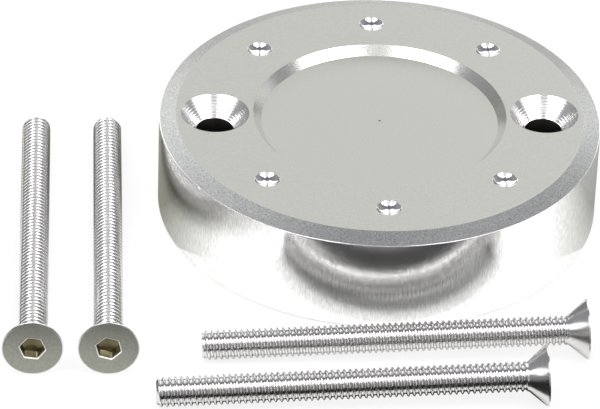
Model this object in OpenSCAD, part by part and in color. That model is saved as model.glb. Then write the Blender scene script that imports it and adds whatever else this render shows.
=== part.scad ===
// Reservoir filler cap, turned from aluminium bar, in millimetres.
// The round cap has a sloped rim, a shallow round recess, two countersunk
// fixing holes and six ball-end dimples. A seal ring sits in its seat face.
// Its two pairs of countersunk socket screws, a long pair and a short pair,
// are taken out and lie on the table beside it.
// The origin is the middle of the seat face, +Z is up, and the fixing holes
// are on the X axis.

/* [Cap body] */
// Outer diameter of the cap
cap_d = 98; // [90:0.5:120]
// Height from the seat face to the top face
cap_h = 23; // [16:0.5:40]
// Flat width of the sloped rim
rim_w = 3.8; // [1:0.1:5]
// Drop of the sloped rim from the top face to the side wall
rim_drop = 1.3; // [0.5:0.1:4]
// Broken edge at the foot of the side wall
foot_break = 0.4; // [0.1:0.1:1.5]

/* [Top recess] */
// Depth of the round recess below the top face
recess_depth = 2; // [0.5:0.1:4]
// Flat width of the recess's sloping wall
recess_wall_run = 1.8; // [0.2:0.1:3]
// Diameter of the centre mark that the lathe left on the recess floor
centre_mark_d = 0.5; // [0.2:0.1:2]

/* [Fixing holes] */
// How much wider the fixing holes are than the screws
hole_clearance = 1.75; // [0.2:0.05:3]
// How much wider the countersinks are than the screw heads
sink_clearance = 2.1; // [0:0.1:4]
// Flat land between a countersink and the sloped rim
outer_land = 1; // [0.5:0.1:4]
// Flat land between a countersink and the recess
inner_land = 0.9; // [0.5:0.1:4]
// Broken edge of the fixing holes in the seat face
hole_break = 0.4; // [0.1:0.1:1]

/* [Dimples] */
// Places on the pitch circle, of which the fixing holes take two
pitch_places = 8; // [4:2:12]
// Diameter of a dimple at the top face
dimple_d = 5.5; // [2:0.1:8]
// Depth of a dimple
dimple_depth = 1.2; // [0.3:0.1:2]

/* [Seal ring] */
// Diameter of the seal ring's round section before it is pressed
seal_section = 2.6; // [1.6:0.1:4]
// Depth of the seal groove, which presses the ring's section flat
groove_depth = 2.1; // [1.2:0.1:3]
// Room beside the seal ring in its groove, on each side
groove_side_gap = 0.35; // [0.1:0.05:1]
// Room above and below the seal ring in its groove
groove_end_gap = 0.05; // [0.02:0.01:0.2]
// Width of the seat face between the groove and the fixing holes
seal_land = 2.5; // [1:0.1:6]

/* [Screws] */
// Outer diameter of the screws' thread
screw_d = 6.35; // [4:0.05:8]
// Overall length of the long screws
long_l = 88.9; // [60:0.1:120]
// Overall length of the short screws
short_l = 82.55; // [50:0.05:100]
// Diameter of the screw heads
head_d = 13.1; // [10:0.1:15]
// Angle of the heads' cone, which the countersinks share
head_angle = 82; // [60:1:100]
// Height of the narrow land round the edge of a head
head_land = 0.3; // [0.1:0.05:1]
// Chamfer on the point of a screw
point_chamfer = 0.7; // [0.2:0.1:1.5]
// Pitch of the screws' thread
thread_pitch = 1.27; // [0.8:0.01:1.8]
// Hexagon socket, measured across its flats
socket_af = 4.76; // [2:0.01:6]
// Depth of the hexagon socket's flat sides
socket_depth = 2.6; // [1:0.1:3.5]

/* [Screws on the table] */
// Gap between the cap's side and the line of the nearer long screw's head
long_side_gap = 4.75; // [1:0.05:20]
// Gap between the heads of the long screws
long_head_gap = 3; // [1:0.1:20]
// How far in front of the cap's axis the long screws' heads lie
long_head_y = 65.2; // [50:0.1:90]
// Gap between the cap's side and the line of the nearer short screw's head
short_side_gap = 3.9; // [2:0.05:20]
// Gap between the lines of the short screws' heads
short_head_gap = 3.3; // [1:0.1:20]
// How far left of the cap's axis the back short screw's point lies
back_point_x = 40.5; // [10:0.1:42]
// How far left of the cap's axis the front short screw's point lies
front_point_x = 50.4; // [10:0.1:55]
// Slant of the short screws to the X axis
short_slant = 0.9; // [0:0.1:3]
// Turn of the left long screw's socket about its own axis
left_turn = 8; // [0:1:60]
// Turn of the right long screw's socket about its own axis
right_turn = 17; // [0:1:60]
// Gap left under a lying screw
table_gap = 0.02; // [0:0.01:0.2]

/* [Hidden] */
$fn = 96;
over = 1;
cap_r = cap_d / 2;
hole_d = screw_d + hole_clearance;
sink_d = head_d + sink_clearance;
half_slope = tan(head_angle / 2);
sink_depth = (sink_d - hole_d) / 2 / half_slope;
pitch_r = cap_r - rim_w - outer_land - sink_d / 2;
recess_r = pitch_r - sink_d / 2 - inner_land;
recess_z = cap_h - recess_depth;
dimple_ball_r = (dimple_d * dimple_d / 4 + dimple_depth * dimple_depth) / (2 * dimple_depth);
groove_w = seal_section + 2 * groove_side_gap;
seal_r = pitch_r - hole_d / 2 - hole_break - seal_land - groove_w / 2;
seal_h = groove_depth - 2 * groove_end_gap;
head_h = head_land + (head_d - screw_d) / 2 / half_slope;
thread_depth = 17 / 24 * thread_pitch * cos(30);
flank_run = thread_depth * tan(30);
crest_w = thread_pitch / 8;
socket_corner_d = socket_af / cos(30);
drill_point_h = socket_af / 2 * tan(30);
drill_tip_d = 0.2;
long_right_x = cap_r + long_side_gap + head_d / 2;
long_left_x = long_right_x + head_d + long_head_gap;
back_y = cap_r + short_side_gap + head_d / 2;
front_y = back_y + head_d + short_head_gap;

// Turned outline of the cap, from the axis out to the side wall and back
module cap_outline() {
    polygon([
        [0, 0],
        [cap_r - foot_break, 0],
        [cap_r, foot_break],
        [cap_r, cap_h - rim_drop],
        [cap_r - rim_w, cap_h],
        [recess_r, cap_h],
        [recess_r - recess_wall_run, recess_z],
        [0, recess_z]
    ]);
}

// A fixing hole with its countersink above and its broken edge below
module fixing_hole() {
    translate([0, 0, -over])
        cylinder(d = hole_d, h = cap_h + 2 * over);
    translate([0, 0, cap_h - sink_depth])
        cylinder(d1 = hole_d, d2 = sink_d + 2 * over * half_slope, h = sink_depth + over);
    translate([0, 0, -over])
        cylinder(d1 = hole_d + 2 * (hole_break + over), d2 = hole_d, h = hole_break + over);
}

// The ball that cuts one dimple, above its place on the pitch circle
module dimple_ball() {
    translate([pitch_r, 0, cap_h - dimple_depth + dimple_ball_r])
        sphere(r = dimple_ball_r);
}

// The ring groove in the seat face
module seal_groove() {
    rotate_extrude()
        translate([seal_r - groove_w / 2, -over])
            square([groove_w, groove_depth + over]);
}

// The small cone that the lathe's centre left
module centre_mark() {
    translate([0, 0, recess_z - centre_mark_d / 2])
        cylinder(d1 = 0, d2 = 2 * centre_mark_d, h = centre_mark_d);
}

// The cap, one turned and drilled piece
module cap_body() {
    color([0.78, 0.78, 0.76])
        difference() {
            rotate_extrude()
                cap_outline();
            for (side = [-1, 1])
                translate([side * pitch_r, 0, 0])
                    fixing_hole();
            for (place = [0 : pitch_places - 1])
                if (place % (pitch_places / 2) != 0)
                    rotate([0, 0, place * 360 / pitch_places])
                        dimple_ball();
            seal_groove();
            centre_mark();
        }
}

// The seal ring, pressed flat above and below as it is in use
module seal_ring() {
    color([0.09, 0.09, 0.1])
        rotate_extrude()
            translate([seal_r, groove_depth / 2])
                intersection() {
                    circle(d = seal_section);
                    square([seal_section + over, seal_h], center = true);
                }
}

// Four points of one thread groove, from its flank at z to its flank before the next crest
function thread_groove(z) = [
    [screw_d / 2, z],
    [screw_d / 2 - thread_depth, z + flank_run],
    [screw_d / 2 - thread_depth, z + thread_pitch - crest_w - flank_run],
    [screw_d / 2, z + thread_pitch - crest_w]
];

// Outline of a screw from its head face at the origin to its point
// The thread is drawn as rings of its true section and pitch, counted from the point
module screw_outline(length) {
    thread_end = length - point_chamfer - crest_w;
    grooves = floor((thread_end - head_h) / thread_pitch);
    polygon([
        [0, 0],
        [head_d / 2, 0],
        [head_d / 2, head_land],
        [screw_d / 2, head_h],
        for (place = [grooves : -1 : 1])
            each thread_groove(thread_end - place * thread_pitch + crest_w),
        [screw_d / 2, length - point_chamfer],
        [screw_d / 2 - point_chamfer, length],
        [0, length]
    ]);
}

// The hexagon socket with its drilled bottom
module hex_socket() {
    translate([0, 0, -over])
        cylinder(d = socket_corner_d, h = socket_depth + over, $fn = 6);
    translate([0, 0, socket_depth - over / 100])
        cylinder(d1 = socket_af, d2 = drill_tip_d, h = drill_point_h);
}

// A countersunk socket screw on its own axis
module countersunk_screw(length, socket_turn) {
    rotate([0, 0, socket_turn])
        difference() {
            rotate_extrude()
                screw_outline(length);
            hex_socket();
        }
}

// A screw as it lies, on the edge of its head and on its point
module lying_screw(length, head_x, head_y, heading, socket_turn) {
    tilt = atan2(head_d / 2 - screw_d / 2, length - point_chamfer - head_land);
    head_z = head_d / 2 * cos(tilt) + head_land * sin(tilt) + table_gap;
    color([0.72, 0.73, 0.74])
        translate([head_x, head_y, head_z])
            rotate([0, 90 + tilt, heading])
                countersunk_screw(length, socket_turn);
}

// A short screw, placed by its point, with its head to the right
module short_screw(point_x, point_y) {
    lying_screw(short_l, short_l - point_x, point_y + short_l * sin(short_slant), 180 + short_slant, 0);
}

module long_screw_left() {
    lying_screw(long_l, -long_left_x, -long_head_y, 90, left_turn);
}

module long_screw_right() {
    lying_screw(long_l, -long_right_x, -long_head_y, 90, right_turn);
}

module short_screw_back() {
    short_screw(back_point_x, -back_y);
}

module short_screw_front() {
    short_screw(front_point_x, -front_y);
}

cap_body();
seal_ring();
long_screw_left();
long_screw_right();
short_screw_back();
short_screw_front();
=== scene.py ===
"""Looks of a turned aluminium reservoir filler cap and its four loose countersunk screws.

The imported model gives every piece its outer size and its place, and the classes hold the finer
sizes of its source. Meshes are drawn in millimetres and turned to metres when a piece is finished.
The cap is one closed skin: turned surfaces are rings about an axis, and flat faces are filled
between them. A Geometry Nodes tree rolls the screws' threads.
"""

import logging
import math
from collections.abc import Callable, Sequence
from dataclasses import dataclass, field, replace
from enum import Enum
from functools import partial

import bmesh
import bpy
from mathutils import Matrix, Vector, geometry


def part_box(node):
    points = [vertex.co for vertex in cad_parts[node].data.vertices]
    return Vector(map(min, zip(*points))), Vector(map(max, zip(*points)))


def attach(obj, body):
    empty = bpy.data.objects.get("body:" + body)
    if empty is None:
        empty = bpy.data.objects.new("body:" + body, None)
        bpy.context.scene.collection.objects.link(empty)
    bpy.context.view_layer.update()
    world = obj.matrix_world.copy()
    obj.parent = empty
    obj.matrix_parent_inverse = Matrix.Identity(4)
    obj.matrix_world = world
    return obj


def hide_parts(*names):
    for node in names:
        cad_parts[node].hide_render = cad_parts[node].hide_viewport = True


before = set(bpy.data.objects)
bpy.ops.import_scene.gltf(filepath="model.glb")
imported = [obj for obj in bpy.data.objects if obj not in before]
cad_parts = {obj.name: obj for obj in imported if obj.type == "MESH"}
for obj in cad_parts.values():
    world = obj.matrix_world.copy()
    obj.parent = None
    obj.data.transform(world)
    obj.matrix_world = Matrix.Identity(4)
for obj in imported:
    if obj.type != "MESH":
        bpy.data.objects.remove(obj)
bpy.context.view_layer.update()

LOG = logging.getLogger("filler_cap")
MM = 0.001
TURN = 2 * math.pi
# Points nearer than this are welded, and lengths nearer than this count as the same.
WELD_MM = 0.0005
SAME_MM = 0.0001
# Width of the level ring beyond a round edge, in the edge's radii.
EDGE_LAND = 3
# How far from a corner its support points lie, where the arc's own ends lie at 1.
SUPPORT_REACH = 2.5

Point = tuple[float, float]
Ring = list[bmesh.types.BMVert]
Socket = bpy.types.NodeSocket
Tree = bpy.types.NodeTree
Material = bpy.types.Material
Object = bpy.types.Object


class CapFinish(Enum):
    """The finishes on the cap, in the order of its material slots."""

    BLASTED = 0
    RIM = 1
    TURNED = 2
    CUT = 3
    BORE = 4
    SEAT = 5
    RECESS = 6
    DIMPLE = 7


class RingFinish(Enum):
    """The one finish on the seal ring."""

    RUBBER = 0


class ScrewFinish(Enum):
    """The finishes on a screw, in the order of its material slots."""

    THREAD = 0
    CONE = 1
    FACE = 2
    SOCKET = 3
    LIP = 4


def linear(colour: str) -> tuple[float, float, float, float]:
    """Turns an sRGB hex colour to Blender's linear colour.

    Args:
        colour: The colour as it is seen, such as "#c7c8c0".

    Returns:
        Linear red, green and blue, and an alpha of 1.
    """
    parts = [int(colour[i:i + 2], 16) / 255 for i in (1, 3, 5)]
    flat = [p / 12.92 if p <= 0.04045 else ((p + 0.055) / 1.055) ** 2.4 for p in parts]
    return (flat[0], flat[1], flat[2], 1.0)


def add_node(
    tree: Tree,
    kind: str,
    inputs: dict[str | int, object] | None = None,
    **settings: object,
) -> bpy.types.Node:
    """Adds one node with its settings, its input values and its incoming links.

    Args:
        tree: The tree that gets the node.
        kind: The node's type name.
        inputs: For each input, by name or number, its value or the output that feeds it.
        **settings: Attributes of the node itself.

    Returns:
        The new node.
    """
    node = tree.nodes.new(kind)
    for name, value in settings.items():
        setattr(node, name, value)
    for name, value in (inputs or {}).items():
        if isinstance(value, Socket):
            tree.links.new(value, node.inputs[name])
        else:
            node.inputs[name].default_value = value
    return node


def add_object(name: str, data: bpy.types.ID) -> Object:
    """Adds an object with its data to the scene."""
    new = bpy.data.objects.new(name, data)
    bpy.context.scene.collection.objects.link(new)
    return new


def start_material(name: str) -> tuple[Material, Tree, Socket]:
    """Starts an empty material.

    Args:
        name: The material's real name.

    Returns:
        The material, its tree and the Object coordinates that its patterns read.
    """
    material = bpy.data.materials.new(name)
    material.use_nodes = True
    tree = material.node_tree
    tree.nodes.clear()
    place = add_node(tree, "ShaderNodeTexCoord").outputs["Object"]
    return material, tree, place


def end_material(tree: Tree, shader: Socket) -> None:
    """Joins the finished shader to the material's output."""
    add_node(tree, "ShaderNodeOutputMaterial", {"Surface": shader})


@dataclass(frozen=True)
class Finish:
    """A surface whose brightness and dents follow a noise with grains of real size."""

    name: str
    colour: str
    roughness: float
    grain_mm: float
    tone: tuple[float, float]
    upright_stretch: float = 1.0
    detail: float = 2.0
    detail_strength: float = 0.55
    metallic: float = 1.0
    dent_mm: float = 0.0
    dent_strength: float = 1.0

    def own_inputs(self, tree: Tree) -> dict[str, object]:
        """Gives the shader's inputs that only this finish has."""
        return {}

    def build(self) -> Material:
        """Builds the material.

        Returns:
            The finished material.
        """
        material, tree, place = start_material(self.name)
        squeeze = (1.0, 1.0, 1 / self.upright_stretch)
        place = add_node(tree, "ShaderNodeMapping", {"Vector": place, "Scale": squeeze}).outputs[0]
        grain = add_node(
            tree, "ShaderNodeTexNoise",
            {
                "Vector": place, "Scale": 1 / (self.grain_mm * MM),
                "Detail": self.detail, "Roughness": self.detail_strength,
            },
        ).outputs["Fac"]
        # The middle half of the noise spans the range of tone, so the contrast is known.
        tone = add_node(
            tree, "ShaderNodeMapRange",
            {
                "Value": grain, "From Min": 0.25, "From Max": 0.75,
                "To Min": self.tone[0], "To Max": self.tone[1],
            },
        ).outputs["Result"]
        colour = add_node(
            tree, "ShaderNodeVectorMath", {0: linear(self.colour)[:3], "Scale": tone},
            operation="SCALE",
        ).outputs["Vector"]
        inputs = {
            "Base Color": colour, "Metallic": self.metallic, "Roughness": self.roughness,
            **self.own_inputs(tree),
        }
        if self.dent_mm:
            # The dents' slopes scatter the light as the real face does.
            depth = self.dent_mm * MM
            inputs["Normal"] = add_node(
                tree, "ShaderNodeBump",
                {"Height": grain, "Distance": depth, "Strength": self.dent_strength},
            ).outputs["Normal"]
        end_material(tree, add_node(tree, "ShaderNodeBsdfPrincipled", inputs).outputs["BSDF"])
        return material


@dataclass(frozen=True)
class GrainedAluminium(Finish):
    """Wrought aluminium with fine dents: matt where it is bead-blasted, brighter where turned.

    A bead or a tool leaves dents of about 0.1 mm, drawn as coarse as they need to show.
    """

    name: str = "bead-blasted aluminium"
    colour: str = "#acada6"
    roughness: float = 0.5
    grain_mm: float = 0.3
    tone: tuple[float, float] = (0.9, 1.1)
    detail: float = 3.0
    dent_mm: float = 0.006


@dataclass(frozen=True)
class TurnedAluminium(Finish):
    """Wrought aluminium turned on a lathe, whose fine rings blur what it mirrors along the axis."""

    name: str = "turned aluminium"
    colour: str = "#ececea"
    roughness: float = 0.13
    grain_mm: float = 0.25
    tone: tuple[float, float] = (0.78, 1.22)
    upright_stretch: float = 6.4
    dent_mm: float = 0.0008
    anisotropy: float = 0.6

    def own_inputs(self, tree: Tree) -> dict[str, object]:
        """Draws the highlights out across the rings, a quarter turn from their own way."""
        rings = add_node(tree, "ShaderNodeTangent", direction_type="RADIAL", axis="Z")
        return {
            "Anisotropic": self.anisotropy,
            "Anisotropic Rotation": 0.25,
            "Tangent": rings.outputs["Tangent"],
        }


@dataclass(frozen=True)
class PlainMetal(Finish):
    """Metal as a cutter, a die or an acid leaves it: bright or dull, with faint clouding."""

    name: str = "bright-cut aluminium"
    colour: str = "#ecebea"
    roughness: float = 0.2
    grain_mm: float = 0.6
    tone: tuple[float, float] = (0.96, 1.04)


@dataclass(frozen=True)
class NitrileRubber(Finish):
    """Moulded nitrile rubber: black, with a soft dull shine. Talc and the mould vary the black."""

    name: str = "nitrile rubber"
    colour: str = "#191a1b"
    roughness: float = 0.55
    grain_mm: float = 0.4
    tone: tuple[float, float] = (0.85, 1.2)
    metallic: float = 0.0
    dent_mm: float = 0.01
    dent_strength: float = 0.5


def arc_corner(
    before: Point, corner: Point, after: Point, radius: float, steps: int
) -> list[Point]:
    """Rounds one corner of an outline, with a support point beyond each end of the arc.

    Args:
        before: The point before the corner.
        corner: The sharp corner.
        after: The point after the corner.
        radius: Radius of the round edge.
        steps: Number of segments in the arc.

    Returns:
        The support point, the arc's points and the other support point.
    """
    at, into, out = Vector(corner), Vector(before) - Vector(corner), Vector(after) - Vector(corner)
    into.normalize()
    out.normalize()
    half = into.angle(out) / 2
    reach = radius / math.tan(half)
    middle = at + (into + out).normalized() * (radius / math.sin(half))
    start, end = at + into * reach - middle, at + out * reach - middle
    points = [at + into * SUPPORT_REACH * reach]
    for step in range(steps + 1):
        share = step / steps
        points.append(middle + start.slerp(end, share).normalized() * radius)
    points.append(at + out * SUPPORT_REACH * reach)
    return [(p.x, p.y) for p in points]


def soft_outline(corners: Sequence[Point], radii: Sequence[float], steps: int = 4) -> list[Point]:
    """Rounds the inner corners of an open outline.

    Args:
        corners: The sharp outline, as radius and height.
        radii: One radius for each corner but the first and the last, 0 to leave it sharp.
        steps: Number of segments in each arc.

    Returns:
        The outline with its round edges.
    """
    outline = [corners[0]]
    for index, radius in enumerate(radii, start=1):
        if radius:
            outline += arc_corner(
                corners[index - 1], corners[index], corners[index + 1], radius, steps
            )
        else:
            outline.append(corners[index])
    outline.append(corners[-1])
    return outline


class Skin:
    """The growing skin of one closed piece, drawn in millimetres."""

    def __init__(self, mesh: bmesh.types.BMesh | None = None) -> None:
        """Starts an empty skin, or goes on with a mesh."""
        self.mesh = mesh or bmesh.new()

    def shaped_ring(
        self, angles: Sequence[float], radii: Sequence[float], height: float, x: float = 0.0
    ) -> Ring:
        """Adds the points of one level ring about an upright axis.

        Args:
            angles: Where the points lie round the ring, in radians.
            radii: How far each point lies from the axis.
            height: The ring's height.
            x: Where the axis crosses the X axis.

        Returns:
            The ring's points in order.
        """
        return [
            self.mesh.verts.new((x + r * math.cos(a), r * math.sin(a), height))
            for a, r in zip(angles, radii)
        ]

    def ring(self, angles: Sequence[float], radius: float, height: float, x: float = 0.0) -> Ring:
        """Adds a round ring."""
        return self.shaped_ring(angles, [radius] * len(angles), height, x)

    def rings(
        self, outline: Sequence[Point], angles: Sequence[float], x: float = 0.0
    ) -> list[Ring]:
        """Adds a round ring for each point of an outline, given as radius and height."""
        return [self.ring(angles, r, z, x) for r, z in outline]

    def face(self, corners: Ring, finish: Enum, smooth: bool = True) -> None:
        """Adds one face."""
        face = self.mesh.faces.new(corners)
        face.material_index = finish.value
        face.smooth = smooth

    def bridge(self, first: Ring, second: Ring, finish: Enum) -> None:
        """Joins two rings that have the same number of points with a band of faces."""
        count = len(first)
        for i in range(count):
            j = (i + 1) % count
            self.face([first[i], first[j], second[j], second[i]], finish)

    def turned(
        self, rings: Sequence[Ring], finish: Enum | Callable[[int], Enum]
    ) -> tuple[Ring, Ring]:
        """Joins a row of rings to a turned surface.

        Args:
            rings: The rings in order along the outline.
            finish: The finish, or a function that gives the finish of each band.

        Returns:
            The first and the last ring.
        """
        for index in range(len(rings) - 1):
            chosen = finish if isinstance(finish, Enum) else finish(index)
            self.bridge(rings[index], rings[index + 1], chosen)
        return rings[0], rings[-1]

    def close(self, ring: Ring, tip: tuple[float, float, float], finish: Enum) -> None:
        """Closes a ring with a fan of faces round one point."""
        point = self.mesh.verts.new(tip)
        for i, corner in enumerate(ring):
            self.face([corner, ring[(i + 1) % len(ring)], point], finish)

    def fill(self, outer: Ring, holes: Sequence[Ring], finish: Enum) -> None:
        """Fills a flat, level face between an outer ring and the holes in it.

        Args:
            outer: The outer ring.
            holes: The rings round the holes.
            finish: The finish of the face.
        """
        loops = [outer, *holes]
        points = [vert for loop in loops for vert in loop]
        edges: list[tuple[int, int]] = []
        start = 0
        for loop in loops:
            edges += [(start + i, start + (i + 1) % len(loop)) for i in range(len(loop))]
            start += len(loop)
        flat = [vert.co.to_2d() for vert in points]
        found = geometry.delaunay_2d_cdt(flat, edges, [], 0, SAME_MM / 100)
        faces, origins = found[2], found[3]
        for corners in faces:
            chosen = [origins[c][0] for c in corners]
            middle = sum((flat[c] for c in chosen), Vector((0, 0))) / len(chosen)
            if inside(middle, outer) and not any(inside(middle, hole) for hole in holes):
                self.face([points[c] for c in chosen], finish, smooth=False)

    def finished(self, name: str, materials: Sequence[Material], place: Matrix) -> Object:
        """Turns the skin to a piece in metres, with its place in its mesh.

        Args:
            name: The piece's name.
            materials: Its materials in the order of the finishes.
            place: Where it lies, in millimetres.

        Returns:
            The new object at the origin.
        """
        bmesh.ops.recalc_face_normals(self.mesh, faces=self.mesh.faces)
        mesh = bpy.data.meshes.new(name)
        for material in materials:
            mesh.materials.append(material)
        self.mesh.to_mesh(mesh)
        self.mesh.free()
        mesh.transform(Matrix.Scale(MM, 4) @ place)
        return add_object(name, mesh)


def inside(point: Vector, loop: Ring) -> bool:
    """Tells whether a point on the plan lies inside a ring, by counting crossings."""
    crossed = False
    count = len(loop)
    for i in range(count):
        a, b = loop[i].co, loop[(i + 1) % count].co
        if (a.y > point.y) != (b.y > point.y):
            if point.x < a.x + (point.y - a.y) / (b.y - a.y) * (b.x - a.x):
                crossed = not crossed
    return crossed


def even_angles(count: int) -> list[float]:
    """Spaces a number of points evenly round a ring."""
    return [TURN * i / count for i in range(count)]


def box_mm(node: str) -> tuple[Vector, Vector]:
    """Gives the corners of a CAD node's box in millimetres."""
    low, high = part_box(node)
    return low / MM, high / MM


def ride_as(piece: Object, node: str) -> None:
    """Lets a piece stand for a CAD node, and logs it.

    Args:
        piece: The finished piece.
        node: The node that it stands for.
    """
    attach(piece, "root")
    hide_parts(node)
    piece.data.calc_loop_triangles()
    LOG.info("%s stands for %s, %d triangles", piece.name, node, len(piece.data.loop_triangles))


@dataclass
class TurnedCap:
    """The cap: one turned, drilled and blasted piece of bar. Sizes in millimetres."""

    rim_width: float = 3.8
    rim_drop: float = 1.3
    foot_break: float = 0.4
    recess_depth: float = 2.0
    recess_wall_run: float = 1.8
    centre_mark_d: float = 0.5
    hole_d: float = 8.1
    sink_d: float = 15.2
    sink_angle_deg: float = 82.0
    outer_land: float = 1.0
    inner_land: float = 0.9
    hole_break: float = 0.4
    pitch_places: int = 8
    dimple_d: float = 5.5
    dimple_depth: float = 1.2
    groove_depth: float = 2.1
    groove_width: float = 3.3
    seal_land: float = 2.5
    # Radii of the rim's round edge and of all the others.
    edge_round: float = 0.12
    fine_round: float = 0.03
    # The countersinks' chatter: coarse waves that sway round the cone, and finer ones on them.
    chatter_waves: float = 8.0
    chatter_height: float = 0.022
    chatter_coarse: float = 0.6
    chatter_fineness: float = 1.9
    chatter_sway: float = 0.6
    chatter_lobes: int = 3
    chatter_fade: float = 0.3
    # The nick in the rim's edge. Its reach and its two keeps are in widths of the nick.
    nick_angle_deg: float = -146.0
    nick_width: float = 0.45
    nick_depth: float = 0.16
    nick_fall: float = 0.6
    nick_sharpness: float = 0.7
    nick_steps: int = 8
    nick_reach: float = 1.6
    nick_keep: float = 1.3
    nick_keep_far: float = 1.82
    # A dimple's lip is this share of a fine round, and its bowl starts at this share of its angle.
    dimple_lip: float = 0.3
    dimple_start: float = 0.985
    # How finely the round surfaces are cut.
    round_points: int = 288
    groove_points: int = 192
    mark_points: int = 16
    sink_points: int = 120
    sink_bands: int = 72
    dimple_points: int = 64
    dimple_steps: int = 14
    skin: Skin = field(init=False)
    angles: list[float] = field(init=False)
    radius: float = field(init=False)
    height: float = field(init=False)
    pitch_r: float = field(init=False)
    recess_r: float = field(init=False)
    floor_z: float = field(init=False)
    groove_r: float = field(init=False)

    def __post_init__(self) -> None:
        """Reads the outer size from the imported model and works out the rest."""
        low, high = box_mm("cap_body")
        self.radius = (high.x - low.x) / 2
        self.height = high.z
        self.pitch_r = self.radius - self.rim_width - self.outer_land - self.sink_d / 2
        self.recess_r = self.pitch_r - self.sink_d / 2 - self.inner_land
        self.floor_z = self.height - self.recess_depth
        self.groove_r = self.pitch_r - self.hole_d / 2 - self.hole_break - self.seal_land
        self.skin, self.angles = Skin(), self.body_angles()

    def body_angles(self) -> list[float]:
        """Spaces the points of the large rings, closer together at the nick."""
        nick = math.radians(self.nick_angle_deg) % TURN
        reach = self.nick_reach * self.nick_width / self.radius
        angles = [a for a in even_angles(self.round_points) if abs(a - nick) > reach]
        steps = self.nick_steps
        angles += [nick + reach * (step / steps) for step in range(-steps, steps + 1)]
        return sorted(angles)

    def add_nick(self, rings: Sequence[Ring]) -> None:
        """Knocks a small flat into the sharp lower edge of the rim."""
        nick = math.radians(self.nick_angle_deg)
        edge = Vector((math.cos(nick), math.sin(nick), 0)) * self.radius
        edge.z = self.height - self.rim_drop
        inward = Vector((-math.cos(nick), -math.sin(nick), -self.nick_fall))
        for vert in [vert for ring in rings for vert in ring]:
            near = (vert.co - edge).length / self.nick_width
            if near < 1:
                vert.co += inward * self.nick_depth * (1 - near) ** self.nick_sharpness

    def outer_skin(self) -> tuple[Ring, Ring]:
        """Adds the rim, the side wall and the foot.

        Returns:
            The ring at the top face and the ring at the seat face.
        """
        edge, fine = self.edge_round, self.fine_round
        # Rings this far from the rim's lower edge keep the nick from bending the faces beyond.
        keep = self.nick_keep * self.nick_width
        far = self.nick_keep_far * self.nick_width
        top_edge = self.radius - self.rim_width
        side_top = self.height - self.rim_drop
        fall = self.rim_drop / self.rim_width
        outline = soft_outline(
            [
                (top_edge - edge, self.height),
                (top_edge, self.height),
                (self.radius - far, side_top + far * fall),
                (self.radius - keep, side_top + keep * fall),
                (self.radius, side_top),
                (self.radius, side_top - keep),
                (self.radius, side_top - far),
                (self.radius, self.foot_break),
                (self.radius - self.foot_break, 0.0),
                (self.radius - self.foot_break - edge, 0.0),
            ],
            [fine, 0.0, 0.0, edge, 0.0, 0.0, fine, 0.0],
        )
        rings = self.skin.rings(outline, self.angles)
        self.add_nick(rings)

        def finish(band: int) -> CapFinish:
            """Picks the finish of a band by where it lies."""
            (r, z), (next_r, _) = outline[band], outline[band + 1]
            if z > side_top and next_r < self.radius - edge:
                return CapFinish.RIM
            return CapFinish.TURNED if abs(r - next_r) < SAME_MM else CapFinish.CUT

        return self.skin.turned(rings, finish)

    def recess_skin(self) -> tuple[Ring, Ring]:
        """Adds the sloping wall of the recess.

        Returns:
            The ring at the recess floor and the ring at the top face.
        """
        fine = self.fine_round
        floor_r = self.recess_r - self.recess_wall_run
        outline = soft_outline(
            [
                (floor_r - EDGE_LAND * fine, self.floor_z),
                (floor_r, self.floor_z),
                (self.recess_r, self.height),
                (self.recess_r + EDGE_LAND * fine, self.height),
            ],
            [fine, fine],
        )

        def finish(band: int) -> CapFinish:
            """Leaves the two edges as matt as the faces beside them."""
            drop = abs(outline[band + 1][1] - outline[band][1])
            return CapFinish.RECESS if drop > self.recess_depth / 2 else CapFinish.BLASTED

        return self.skin.turned(self.skin.rings(outline, self.angles), finish)

    def chatter(self, share: float, angle: float) -> float:
        """Gives the depth of the cutter's chatter marks in a countersink.

        Args:
            share: How far down the cone, from 0 at its mouth to 1 at the bore.
            angle: Where round the cone, in radians.

        Returns:
            How far the surface lies outside the true cone, in millimetres.
        """
        coarse = TURN * self.chatter_waves * share
        sway = self.chatter_sway * math.sin(self.chatter_lobes * angle)
        wave = self.chatter_coarse * math.sin(coarse + sway)
        wave += (1 - self.chatter_coarse) * math.sin(self.chatter_fineness * coarse + angle)
        return self.chatter_height * wave * math.sin(math.pi * share) ** self.chatter_fade

    def hole_skin(self, x: float) -> tuple[Ring, Ring]:
        """Adds a fixing hole: its countersink with chatter rings, its bore and its broken edge.

        Args:
            x: Where the hole's axis crosses the X axis.

        Returns:
            The ring at the top face and the ring at the seat face.
        """
        skin, fine = self.skin, self.fine_round
        hole_r, sink_r = self.hole_d / 2, self.sink_d / 2
        slope = math.tan(math.radians(self.sink_angle_deg / 2))
        sink_z = self.height - (sink_r - hole_r) / slope
        top = soft_outline(
            [
                (sink_r + EDGE_LAND * fine, self.height),
                (sink_r, self.height),
                (hole_r, sink_z),
            ],
            [fine],
        )
        angles = even_angles(self.sink_points)
        rings = skin.rings(top[:-1], angles, x)
        # The cutter chatters: shallow rings that the cone mirrors as stripes.
        start, end = top[-2], top[-1]
        for band in range(1, self.sink_bands):
            share = band / self.sink_bands
            r, z = (a + (b - a) * share for a, b in zip(start, end))
            radii = [r + self.chatter(share, angle) for angle in angles]
            rings.append(skin.shaped_ring(angles, radii, z, x))
        # The round edge ends one band above the first of these rings.
        edge = len(top) - 3

        def finish(band: int) -> CapFinish:
            """Leaves the edge as matt as the top face."""
            return CapFinish.BLASTED if band < edge else CapFinish.CUT

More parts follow.
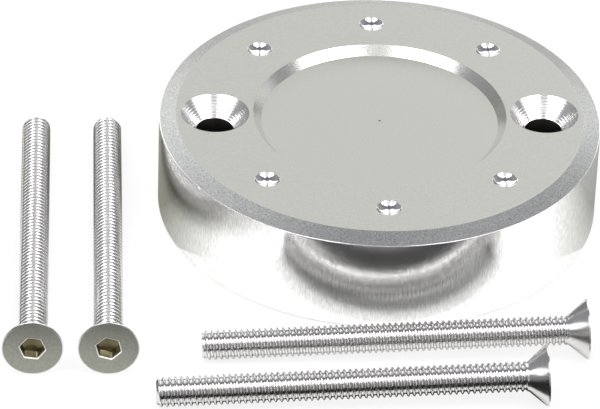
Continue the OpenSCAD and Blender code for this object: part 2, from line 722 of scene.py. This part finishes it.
        first, last = skin.turned(rings, finish)
        bore = [(hole_r, sink_z), (hole_r, self.hole_break), (hole_r + self.hole_break, 0.0)]
        lower = skin.rings(bore, angles, x)
        skin.bridge(last, lower[0], CapFinish.CUT)
        _, foot = skin.turned(lower, CapFinish.BORE)
        return first, foot

    def dimple_skin(self, turn: float) -> Ring:
        """Adds one ball-end dimple.

        Args:
            turn: Where it lies on the pitch circle, in radians.

        Returns:
            The ring at the top face.
        """
        skin, fine, half = self.skin, self.fine_round, self.dimple_d / 2
        lip = self.dimple_lip * fine
        ball_r = (half**2 + self.dimple_depth**2) / (2 * self.dimple_depth)
        ball_z = self.height - self.dimple_depth + ball_r
        widest = math.asin(half / ball_r)
        outline = [(half + fine, self.height), (half + lip, self.height - lip)]
        for step in range(self.dimple_steps):
            tilt = widest * (1 - step / self.dimple_steps) * self.dimple_start
            outline.append((ball_r * math.sin(tilt), ball_z - ball_r * math.cos(tilt)))
        rings = skin.rings(outline, even_angles(self.dimple_points))
        move = Vector((self.pitch_r * math.cos(turn), self.pitch_r * math.sin(turn), 0))
        for vert in [vert for ring in rings for vert in ring]:
            vert.co += move
        skin.turned(rings, CapFinish.DIMPLE)
        skin.close(rings[-1], (move.x, move.y, ball_z - ball_r), CapFinish.DIMPLE)
        return rings[0]

    def build(self, materials: Sequence[Material]) -> Object:
        """Builds the cap and lets it stand for its CAD node.

        Args:
            materials: Its materials in the order of CapFinish.

        Returns:
            The finished cap.
        """
        skin = self.skin
        top_outer, seat_outer = self.outer_skin()
        floor, top_inner = self.recess_skin()
        holes = [self.hole_skin(side * self.pitch_r) for side in (-1, 1)]
        dimples = [
            self.dimple_skin(TURN * place / self.pitch_places)
            for place in range(self.pitch_places)
            if place % (self.pitch_places // 2)
        ]
        skin.fill(top_outer, [top_inner, *[h[0] for h in holes], *dimples], CapFinish.BLASTED)
        mark = skin.ring(even_angles(self.mark_points), self.centre_mark_d / 2, self.floor_z)
        skin.fill(floor, [mark], CapFinish.BLASTED)
        # The centre mark's pit takes the bore's painted shade.
        skin.close(mark, (0, 0, self.floor_z - self.centre_mark_d / 2), CapFinish.BORE)
        inner_r = self.groove_r - self.groove_width
        groove = skin.rings(
            [
                (self.groove_r, 0.0), (self.groove_r, self.groove_depth),
                (inner_r, self.groove_depth), (inner_r, 0.0),
            ],
            even_angles(self.groove_points),
        )
        outer_edge, inner_edge = skin.turned(groove, CapFinish.SEAT)
        skin.fill(seat_outer, [outer_edge, *[h[1] for h in holes]], CapFinish.SEAT)
        skin.fill(inner_edge, [], CapFinish.SEAT)
        piece = skin.finished("turned_cap", materials, Matrix.Identity(4))
        ride_as(piece, "cap_body")
        return piece


@dataclass
class SealRing:
    """The rubber ring in the seat face, pressed flat above and below. Sizes in millimetres."""

    section: float = 2.6
    arc_steps: int = 10
    round_points: int = 192

    def build(self, material: Material) -> Object:
        """Builds the ring and lets it stand for its CAD node.

        Args:
            material: Its rubber.

        Returns:
            The finished ring.
        """
        low, high = box_mm("seal_ring")
        half = self.section / 2
        middle_r, middle_z = (high.x - low.x) / 2 - half, (low.z + high.z) / 2
        widest = math.asin((high.z - low.z) / 2 / half)
        outline: list[Point] = []
        for side in (1, -1):
            for step in range(self.arc_steps + 1):
                tilt = side * widest * (2 * step / self.arc_steps - 1)
                outline.append(
                    (middle_r + side * half * math.cos(tilt), middle_z + half * math.sin(tilt))
                )
        skin = Skin()
        rings = skin.rings(outline, even_angles(self.round_points))
        skin.turned([*rings, rings[0]], RingFinish.RUBBER)
        piece = skin.finished("rubber_seal_ring", [material], Matrix.Identity(4))
        ride_as(piece, "seal_ring")
        return piece


@dataclass(frozen=True)
class ThreadRoller:
    """A Geometry Nodes tree that rolls a 60 degree thread on an open tube, in millimetres."""

    root_flat: float = 0.3
    crest_flat: float = 0.2
    roundness: float = 0.1

    def tree(self) -> Tree:
        """Builds the tree with its named inputs.

        Returns:
            The tree, to be used on any number of screws.
        """
        tree = bpy.data.node_groups.new("rolled_thread", "GeometryNodeTree")
        face = tree.interface
        face.new_socket("Mesh", in_out="OUTPUT", socket_type="NodeSocketGeometry")
        for name in ("Radius", "Depth", "Pitch", "Start", "Length", "Chamfer", "Run-out", "Turn"):
            face.new_socket(name, in_out="INPUT", socket_type="NodeSocketFloat")
        for name in ("Segments", "Rings"):
            face.new_socket(name, in_out="INPUT", socket_type="NodeSocketInt")
        face.new_socket("Steel", in_out="INPUT", socket_type="NodeSocketMaterial")
        given = add_node(tree, "NodeGroupInput").outputs

        def step(operation: str, *values: object, clamp: bool = False) -> Socket:
            """Adds one sum, product or other step and gives its result."""
            return add_node(
                tree, "ShaderNodeMath", dict(enumerate(values)), operation=operation,
                use_clamp=clamp,
            ).outputs[0]

        plus, minus = partial(step, "ADD"), partial(step, "SUBTRACT")
        times, over = partial(step, "MULTIPLY"), partial(step, "DIVIDE")
        columns = add_node(tree, "FunctionNodeIntegerMath", {0: given["Segments"], 1: 1})
        rows = add_node(tree, "FunctionNodeIntegerMath", {0: given["Rings"], 1: 1})
        grid = add_node(
            tree, "GeometryNodeMeshGrid",
            {
                "Size X": 1.0, "Size Y": 1.0,
                "Vertices X": columns.outputs[0], "Vertices Y": rows.outputs[0],
            },
        )
        flat = add_node(tree, "GeometryNodeInputPosition").outputs[0]
        place = add_node(tree, "ShaderNodeSeparateXYZ", {0: flat}).outputs
        share_round = plus(place["X"], 0.5)
        share_along = plus(place["Y"], 0.5)
        angle = times(share_round, TURN)
        along = times(share_along, given["Length"])
        height = plus(along, given["Start"])
        # The crest climbs one pitch in each turn, a right-hand thread.
        turns = over(height, given["Pitch"])
        phase = step("FRACT", plus(minus(turns, share_round), given["Turn"]))
        ridge = step("ABSOLUTE", step("MULTIPLY_ADD", phase, 2.0, -1.0))
        slope = 1 - self.root_flat - self.crest_flat
        flank = over(minus(ridge, self.root_flat), slope, clamp=True)
        # Rolling rounds the crests and the roots.
        bend = step("COSINE", times(flank, math.pi))
        soft = step("MULTIPLY_ADD", bend, -0.5, 0.5)
        mixed = plus(times(soft, self.roundness), times(flank, 1 - self.roundness))
        cut = times(minus(1.0, mixed), given["Depth"])
        # The thread runs out under the head.
        fade = over(along, given["Run-out"], clamp=True)
        threaded = minus(given["Radius"], times(cut, fade))
        # The point is chamfered at 45 degrees.
        to_end = minus(given["Length"], along)
        widest = plus(minus(given["Radius"], given["Chamfer"]), to_end)
        radius = step("MINIMUM", threaded, widest)
        position = add_node(
            tree, "ShaderNodeCombineXYZ",
            {
                "X": times(radius, step("COSINE", angle)),
                "Y": times(radius, step("SINE", angle)),
                "Z": height,
            },
        )
        shape = grid.outputs["Mesh"]
        for kind, inputs in (
            ("SetPosition", {"Position": position.outputs[0]}),
            ("MergeByDistance", {"Distance": WELD_MM}),
            ("SetShadeSmooth", {}),
            ("RealizeInstances", {}),
            ("SetMaterial", {"Material": given["Steel"]}),
        ):
            shape = add_node(tree, "GeometryNode" + kind, {"Geometry": shape, **inputs}).outputs[0]
        add_node(tree, "NodeGroupOutput", {"Mesh": shape})
        return tree


@dataclass
class LyingScrew:
    """A countersunk hexagon socket screw, lying on its head and its point. Sizes in millimetres."""

    node: str
    length: float
    heading_deg: float
    socket_turn_deg: float
    thread_turn: float
    thread_d: float = 6.35
    pitch: float = 1.27
    thread_depth: float = 0.54
    head_d: float = 13.1
    head_angle_deg: float = 82.0
    head_land: float = 0.3
    point_chamfer: float = 0.7
    socket_af: float = 4.76
    socket_depth: float = 2.6
    socket_mouth: float = 0.22
    # How much of the hexagon's corner radius and of its half width the broach and the drill reach.
    socket_corner: float = 0.985
    drill_width: float = 0.98
    drill_slope_deg: float = 30.0
    run_out_pitches: float = 0.8
    edge_round: float = 0.07
    segments: int = 48
    points_per_flat: int = 8
    rings_per_pitch: int = 12

    @property
    def head_height(self) -> float:
        """Height of the head, from its face to the thread."""
        slope = math.tan(math.radians(self.head_angle_deg / 2))
        return self.head_land + (self.head_d - self.thread_d) / 2 / slope

    def place(self) -> Matrix:
        """Works out where the screw lies from its CAD node's box.

        Returns:
            The matrix that takes it from its own axis, head face at the origin, to the table.
        """
        contact = self.length - self.point_chamfer - self.head_land
        tilt = math.atan2((self.head_d - self.thread_d) / 2, contact)
        heading = math.radians(self.heading_deg)
        turned = Matrix.Rotation(heading, 4, "Z") @ Matrix.Rotation(math.pi / 2 + tilt, 4, "Y")
        along = turned.to_3x3() @ Vector((0, 0, 1))
        low, high = box_mm(self.node)
        face = Vector()
        rounding = 1e-9
        for axis in range(3):
            reach = self.head_d / 2 * math.sqrt(max(0.0, 1 - along[axis] ** 2))
            face[axis] = high[axis] - reach if along[axis] < -rounding else low[axis] + reach
        spin = Matrix.Rotation(math.radians(self.socket_turn_deg), 4, "Z")
        return Matrix.Translation(face) @ turned @ spin

    def thread(self, tree: Tree, steel: Material) -> bmesh.types.BMesh:
        """Rolls the screw's thread.

        Args:
            tree: The thread tree.
            steel: The thread's material.

        Returns:
            The open tube of the thread, from the head to the point.
        """
        span = self.length - self.head_height
        values = {
            "Radius": self.thread_d / 2, "Depth": self.thread_depth, "Pitch": self.pitch,
            "Start": self.head_height, "Length": span, "Chamfer": self.point_chamfer,
            "Run-out": self.run_out_pitches * self.pitch, "Turn": self.thread_turn,
            "Segments": self.segments, "Steel": steel,
            "Rings": round(span / self.pitch * self.rings_per_pitch),
        }
        blank = add_object("thread_blank", bpy.data.meshes.new("thread_blank"))
        roller = blank.modifiers.new("thread", "NODES")
        roller.node_group = tree
        for item in tree.interface.items_tree:
            if item.in_out == "INPUT":
                roller[item.identifier] = values[item.name]
        graph = bpy.context.evaluated_depsgraph_get()
        mesh = bpy.data.meshes.new_from_object(blank.evaluated_get(graph))
        blank.modifiers.remove(roller)
        rolled = bmesh.new()
        rolled.from_mesh(mesh)
        bpy.data.objects.remove(blank)
        bpy.data.meshes.remove(mesh)
        return rolled

    def rim_of(self, mesh: bmesh.types.BMesh, height: float) -> Ring:
        """Finds the open ring of the thread at a height, in order round the axis."""
        near_mm, seam = 0.01, 1e-4
        open_verts = {v for e in mesh.edges if e.is_boundary for v in e.verts}
        ring = [v for v in open_verts if abs(v.co.z - height) < near_mm]
        # A point just short of a whole turn is the seam's own, and comes first.
        return sorted(ring, key=lambda v: math.atan2(v.co.y, v.co.x) % (TURN - seam))

    def socket_ring(self, skin: Skin, flats: float, height: float) -> Ring:
        """Adds a hexagon ring, with its corners a little rounded.

        Args:
            skin: The screw's skin.
            flats: Width across the flats.
            height: Where the ring lies along the axis.

        Returns:
            The ring's points in order.
        """
        sixth = math.pi / 3
        longest = flats / 2 / math.cos(sixth / 2) * self.socket_corner
        angles = even_angles(6 * self.points_per_flat)
        radii = []
        for angle in angles:
            # The angle from the nearest corner gives the distance to the flat.
            off = (angle - sixth / 2) % sixth
            off = min(off, sixth - off)
            radii.append(min(flats / 2 / math.cos(sixth / 2 - off), longest))
        return skin.shaped_ring(angles, radii, height)

    def build(self, tree: Tree, materials: Sequence[Material]) -> Object:
        """Builds the screw and lets it stand for its CAD node.

        Args:
            tree: The thread tree.
            materials: Its materials in the order of ScrewFinish.

        Returns:
            The finished screw.
        """
        skin = Skin(self.thread(tree, materials[ScrewFinish.THREAD.value]))
        neck = self.rim_of(skin.mesh, self.head_height)
        point = self.rim_of(skin.mesh, self.length)
        skin.close(point, (0, 0, self.length), ScrewFinish.THREAD)
        head_r, edge = self.head_d / 2, self.edge_round
        outline = soft_outline(
            [
                (self.thread_d / 2, self.head_height),
                (head_r, self.head_land),
                (head_r, 0.0),
                (head_r - EDGE_LAND * edge, 0.0),
            ],
            [edge, edge],
        )
        rings = [neck, *skin.rings(outline[1:], even_angles(self.segments))]
        _, face = skin.turned(rings, ScrewFinish.CONE)
        mouth = self.socket_ring(skin, self.socket_af + 2 * self.socket_mouth, 0.0)
        lip = self.socket_ring(skin, self.socket_af, self.socket_mouth)
        foot = self.socket_ring(skin, self.socket_af, self.socket_depth)
        skin.fill(face, [mouth], ScrewFinish.FACE)
        # The mouth takes the painted highlight, and the socket's walls, floor and drill point the
        # painted shade.
        skin.bridge(mouth, lip, ScrewFinish.LIP)
        skin.bridge(lip, foot, ScrewFinish.SOCKET)
        drill_r = self.socket_af / 2 * self.drill_width
        drill = skin.ring(even_angles(len(foot)), drill_r, self.socket_depth)
        skin.fill(foot, [drill], ScrewFinish.SOCKET)
        tip = self.socket_depth + drill_r * math.tan(math.radians(self.drill_slope_deg))
        skin.close(drill, (0, 0, tip), ScrewFinish.SOCKET)
        piece = skin.finished(self.node + "_threaded", materials, self.place())
        ride_as(piece, self.node)
        return piece


@dataclass(frozen=True)
class PhotoCamera:
    """The camera at the photograph's viewing angle, found by fitting the cap's edges."""

    azimuth_deg: float = -3.39
    elevation_deg: float = 34.95
    roll_deg: float = 2.05
    distance: float = 0.9972
    aim: tuple[float, float, float] = (-0.01732, -0.00479, 0.0016)
    lens_mm: float = 267.6
    sensor_mm: float = 36.0
    clip: tuple[float, float] = (0.05, 50.0)

    def build(self) -> None:
        """Creates the camera and makes it the scene's own."""
        data = bpy.data.cameras.new("photo_camera")
        data.lens, data.sensor_width = self.lens_mm, self.sensor_mm
        data.clip_start, data.clip_end = self.clip
        camera = add_object("photo_camera", data)
        turn = (
            Matrix.Rotation(math.radians(self.azimuth_deg), 4, "Z")
            @ Matrix.Rotation(math.radians(90 - self.elevation_deg), 4, "X")
            @ Matrix.Rotation(math.radians(self.roll_deg), 4, "Z")
        )
        back = turn.to_3x3() @ Vector((0, 0, self.distance))
        camera.matrix_world = Matrix.Translation(Vector(self.aim) + back) @ turn
        bpy.context.scene.camera = camera


@dataclass(frozen=True)
class Panel:
    """One upright soft light panel. Angles are as seen from the cap, and lengths in metres."""

    name: str
    azimuth_deg: float
    elevation_deg: float
    distance: float
    width: float
    height: float
    glow: float

    def pair(self) -> list["Panel"]:
        """Gives its mirror image on the left and itself, both named after their side."""
        return [
            replace(self, name=f"{self.name}_left", azimuth_deg=-self.azimuth_deg),
            replace(self, name=f"{self.name}_right"),
        ]

    def build(self) -> None:
        """Creates the panel as an area light of a known brightness."""
        data = bpy.data.lights.new(self.name, "AREA")
        data.shape = "RECTANGLE"
        data.size, data.size_y = self.width, self.height
        data.energy = self.glow * self.width * self.height * math.pi
        lamp = add_object(self.name, data)
        heading = Matrix.Rotation(math.radians(self.azimuth_deg), 4, "Z")
        way = heading @ Matrix.Rotation(math.radians(90 - self.elevation_deg), 4, "X")
        turn = heading @ Matrix.Rotation(math.pi / 2, 4, "X")
        back = way.to_3x3() @ Vector((0, 0, self.distance))
        lamp.matrix_world = Matrix.Translation(back) @ turn
        lamp.visible_camera = False


def add_sheet(
    name: str, corners: Sequence[tuple[float, float, float]], material: Material
) -> Object:
    """Adds a flat four-sided sheet to the scene.

    Args:
        name: The sheet's name.
        corners: Its corners in order, in metres.
        material: What it is made of.

    Returns:
        The new object.
    """
    mesh = bpy.data.meshes.new(name)
    mesh.from_pydata(corners, [], [(0, 1, 2, 3)])
    mesh.materials.append(material)
    return add_object(name, mesh)


@dataclass(frozen=True)
class Card:
    """One matt card that only mirrors see. Lengths are in metres.

    It goes from the floor's colour to its own over the depth of fade behind its front edge.
    """

    name: str
    colour: str
    left: float
    right: float
    front: float
    back: float
    base: float = 0.0004
    rise: float = 0.0
    fade: float = 0.0001

    def build(self, floor_colour: str) -> None:
        """Creates the card.

        Args:
            floor_colour: The sRGB hex colour of the floor round it.
        """
        material, tree, place = start_material(self.name)
        depth = add_node(tree, "ShaderNodeSeparateXYZ", {0: place}).outputs["Y"]
        share = add_node(
            tree, "ShaderNodeMapRange",
            {"Value": depth, "From Min": self.front, "From Max": self.front + self.fade},
        )
        tone = add_node(
            tree, "ShaderNodeMix",
            {0: share.outputs[0], 6: linear(floor_colour), 7: linear(self.colour)},
            data_type="RGBA",
        )
        matt = add_node(tree, "ShaderNodeBsdfDiffuse", {"Color": tone.outputs[2]})
        end_material(tree, matt.outputs[0])
        top = self.base + self.rise
        card = add_sheet(
            self.name,
            [
                (self.left, self.front, self.base), (self.right, self.front, self.base),
                (self.right, self.back, top), (self.left, self.back, top),
            ],
            material,
        )
        card.visible_camera = False
        card.visible_diffuse = False
        card.visible_shadow = False


@dataclass(frozen=True)
class Studio:
    """The pale floor, the plain surroundings, the cards and the soft panels, in metres."""

    floor_size: float = 8.0
    floor_drop: float = 0.0002
    floor_colour: str = "#f2f2f0"
    camera_white: float = 0.85
    low_colour: str = "#868682"
    middle_colour: str = "#a6a6ac"
    middle_height: float = 0.55
    overhead_colour: str = "#7a7a84"

    def panels(self) -> list[Panel]:
        """Lists the light panels: mirrored pairs, and one low panel behind on the right."""
        front = Panel(
            "front", azimuth_deg=48, elevation_deg=73.1, distance=2.06,
            width=0.67, height=2.87, glow=5.8,
        )
        low = Panel(
            "low", azimuth_deg=71, elevation_deg=27.2, distance=0.787,
            width=0.28, height=0.36, glow=2.4,
        )
        low_back = Panel(
            "low_back_right", azimuth_deg=122, elevation_deg=11.3, distance=0.612,
            width=0.38, height=0.24, glow=0.5,
        )
        back = Panel(
            "back", azimuth_deg=159, elevation_deg=50.9, distance=0.952,
            width=0.4, height=1.218, glow=1.45,
        )
        return [*front.pair(), *low.pair(), low_back, *back.pair()]

    def cards(self) -> list[Card]:
        """Lists the cards: painted shade on the table beside the cap and round the short screws,
        seen only by mirrors, and dark cards far in front.
        """
        side = {"front": -0.036, "back": 0.04, "fade": 0.032}
        return [
            Card("front_flag_flat", "#202020", left=-0.4, right=0.4, front=-0.6, back=-0.082),
            # Painted shade on the table, seen only by mirrors: between the short screws, and
            # between the back one and the cap.
            Card(
                "strip_flag_front", "#3c3c3c", left=-0.052, right=0.045,
                front=-0.0775, back=-0.069,
            ),
            Card(
                "strip_flag_back", "#d8d8d8", left=-0.04, right=0.042,
                front=-0.0595, back=-0.0505,
            ),
            # Painted shade of the cap on the table at its sides, seen only by mirrors, darker
            # towards the back.
            Card("side_flag_left", "#8c8c82", left=-0.1, right=-0.045, **side),
            Card("side_flag_right", "#989894", left=0.045, right=0.1, **side),
            Card(
                "front_flag_up", "#202020", left=-0.1, right=0.1, front=-0.6, back=-0.6,
                rise=0.42,
            ),
            Card(
                "front_flag_high", "#606060", left=-0.22, right=0.3, front=-0.4, back=-0.4,
                base=0.52, rise=1.9,
            ),
        ]

    def floor(self) -> None:
        """Lays the floor: nearly white to the camera, with shadows, and pale to mirrors."""
        material, tree, _ = start_material("white card")
        card = add_node(tree, "ShaderNodeBsdfDiffuse", {"Color": linear(self.floor_colour)})
        white = add_node(tree, "ShaderNodeEmission", {"Color": (1, 1, 1, 1), "Strength": 1.0})
        path = add_node(tree, "ShaderNodeLightPath").outputs
        share = add_node(
            tree, "ShaderNodeMath",
            {0: path["Is Camera Ray"], 1: self.camera_white}, operation="MULTIPLY",
        )
        mixed = add_node(
            tree, "ShaderNodeMixShader",
            {0: share.outputs[0], 1: card.outputs[0], 2: white.outputs[0]},
        )
        end_material(tree, mixed.outputs[0])
        half, low = self.floor_size / 2, -self.floor_drop
        floor = add_sheet(
            "floor",
            [(-half, -half, low), (half, -half, low), (half, half, low), (-half, half, low)],
            material,
        )

    def surroundings(self) -> None:
        """Sets the world: white to the camera, and to mirrors a room, palest half-way up."""
        world = bpy.data.worlds.new("studio")
        world.use_nodes = True
        bpy.context.scene.world = world
        tree = world.node_tree
        tree.nodes.clear()
        way = add_node(tree, "ShaderNodeTexCoord").outputs["Generated"]
        up = add_node(tree, "ShaderNodeSeparateXYZ", {0: way}).outputs["Z"]
        room = add_node(tree, "ShaderNodeValToRGB", {"Fac": up})
        stops = room.color_ramp.elements
        stops[0].position, stops[0].color = 0.0, linear(self.low_colour)
        stops[1].position, stops[1].color = 1.0, linear(self.overhead_colour)
        stops.new(self.middle_height).color = linear(self.middle_colour)
        path = add_node(tree, "ShaderNodeLightPath").outputs
        colour = add_node(
            tree, "ShaderNodeMix",
            {0: path["Is Camera Ray"], 6: room.outputs["Color"], 7: (1, 1, 1, 1)},
            data_type="RGBA",
        )
        light = add_node(
            tree, "ShaderNodeBackground", {"Color": colour.outputs[2], "Strength": 1.0}
        )
        add_node(tree, "ShaderNodeOutputWorld", {"Surface": light.outputs[0]})

    def build(self) -> None:
        """Builds the studio."""
        for card in self.cards():
            card.build(self.floor_colour)
        self.floor()
        self.surroundings()
        for panel in self.panels():
            panel.build()
        bpy.context.scene.view_settings.view_transform = "Standard"


def cap_materials() -> list[Material]:
    """Builds the cap's materials, in the order of CapFinish."""
    looks = {
        CapFinish.BLASTED: GrainedAluminium(),
        CapFinish.RIM: GrainedAluminium(
            name="bead-blasted aluminium rim", colour="#a9aaa8", roughness=0.3,
            grain_mm=0.28, tone=(0.5, 1.5), dent_mm=0.035,
        ),
        CapFinish.TURNED: TurnedAluminium(),
        CapFinish.CUT: PlainMetal(),
        # The bores and the centre mark are painted near black: painted shade deep in the holes.
        CapFinish.BORE: PlainMetal("drilled aluminium, dark", "#2b2a27", roughness=0.45),
        CapFinish.SEAT: PlainMetal("faced aluminium", "#d8d8d4", roughness=0.3),
        CapFinish.RECESS: GrainedAluminium(
            name="bright-turned aluminium", colour="#dcdcd8", roughness=0.21,
            tone=(0.88, 1.12), dent_mm=0.01,
        ),
        CapFinish.DIMPLE: PlainMetal("ball-cut aluminium", "#e2e2e2", roughness=0.1),
    }
    return [looks[finish].build() for finish in CapFinish]


def screw_materials() -> list[Material]:
    """Builds the screws' materials, in the order of ScrewFinish."""
    looks = {
        ScrewFinish.THREAD: PlainMetal("rolled stainless steel", "#cbcac4", roughness=0.16),
        ScrewFinish.CONE: PlainMetal("formed stainless steel", "#cfcecd", roughness=0.2),
        ScrewFinish.FACE: PlainMetal(
            "pickled stainless steel", "#8f9087", roughness=0.45, grain_mm=0.5, tone=(0.88, 1.12),
        ),
        # The socket is painted darker and browner than the face: painted shade in the hexagon hole.
        ScrewFinish.SOCKET: PlainMetal("broached stainless steel", "#7d765a", roughness=0.3),
        # The socket's chamfered mouth is painted near white: a painted highlight round the hexagon.
        ScrewFinish.LIP: PlainMetal("burred stainless steel", "#f2f2ee", roughness=0.6),
    }
    return [looks[finish].build() for finish in ScrewFinish]


def loose_screws() -> list[LyingScrew]:
    """Lists the screws: two of 3 1/2 inches on the left, two of 3 1/4 inches in front."""
    long_screw = partial(LyingScrew, length=88.9, heading_deg=90.0)
    short_screw = partial(LyingScrew, length=82.55, heading_deg=180.9, socket_turn_deg=0.0)
    return [
        long_screw("long_screw_left", socket_turn_deg=8.0, thread_turn=0.1),
        long_screw("long_screw_right", socket_turn_deg=17.0, thread_turn=0.6),
        short_screw("short_screw_back", thread_turn=0.3),
        short_screw("short_screw_front", thread_turn=0.8),
    ]


def main() -> None:
    """Builds the camera, the studio, the cap, its seal ring and the screws in order."""
    logging.basicConfig(level=logging.INFO, format="%(message)s")
    PhotoCamera().build()
    Studio().build()
    TurnedCap().build(cap_materials())
    SealRing().build(NitrileRubber().build())
    materials = screw_materials()
    tree = ThreadRoller().tree()
    for screw in loose_screws():
        screw.build(tree, materials)


if __name__ == "__main__":
    main()
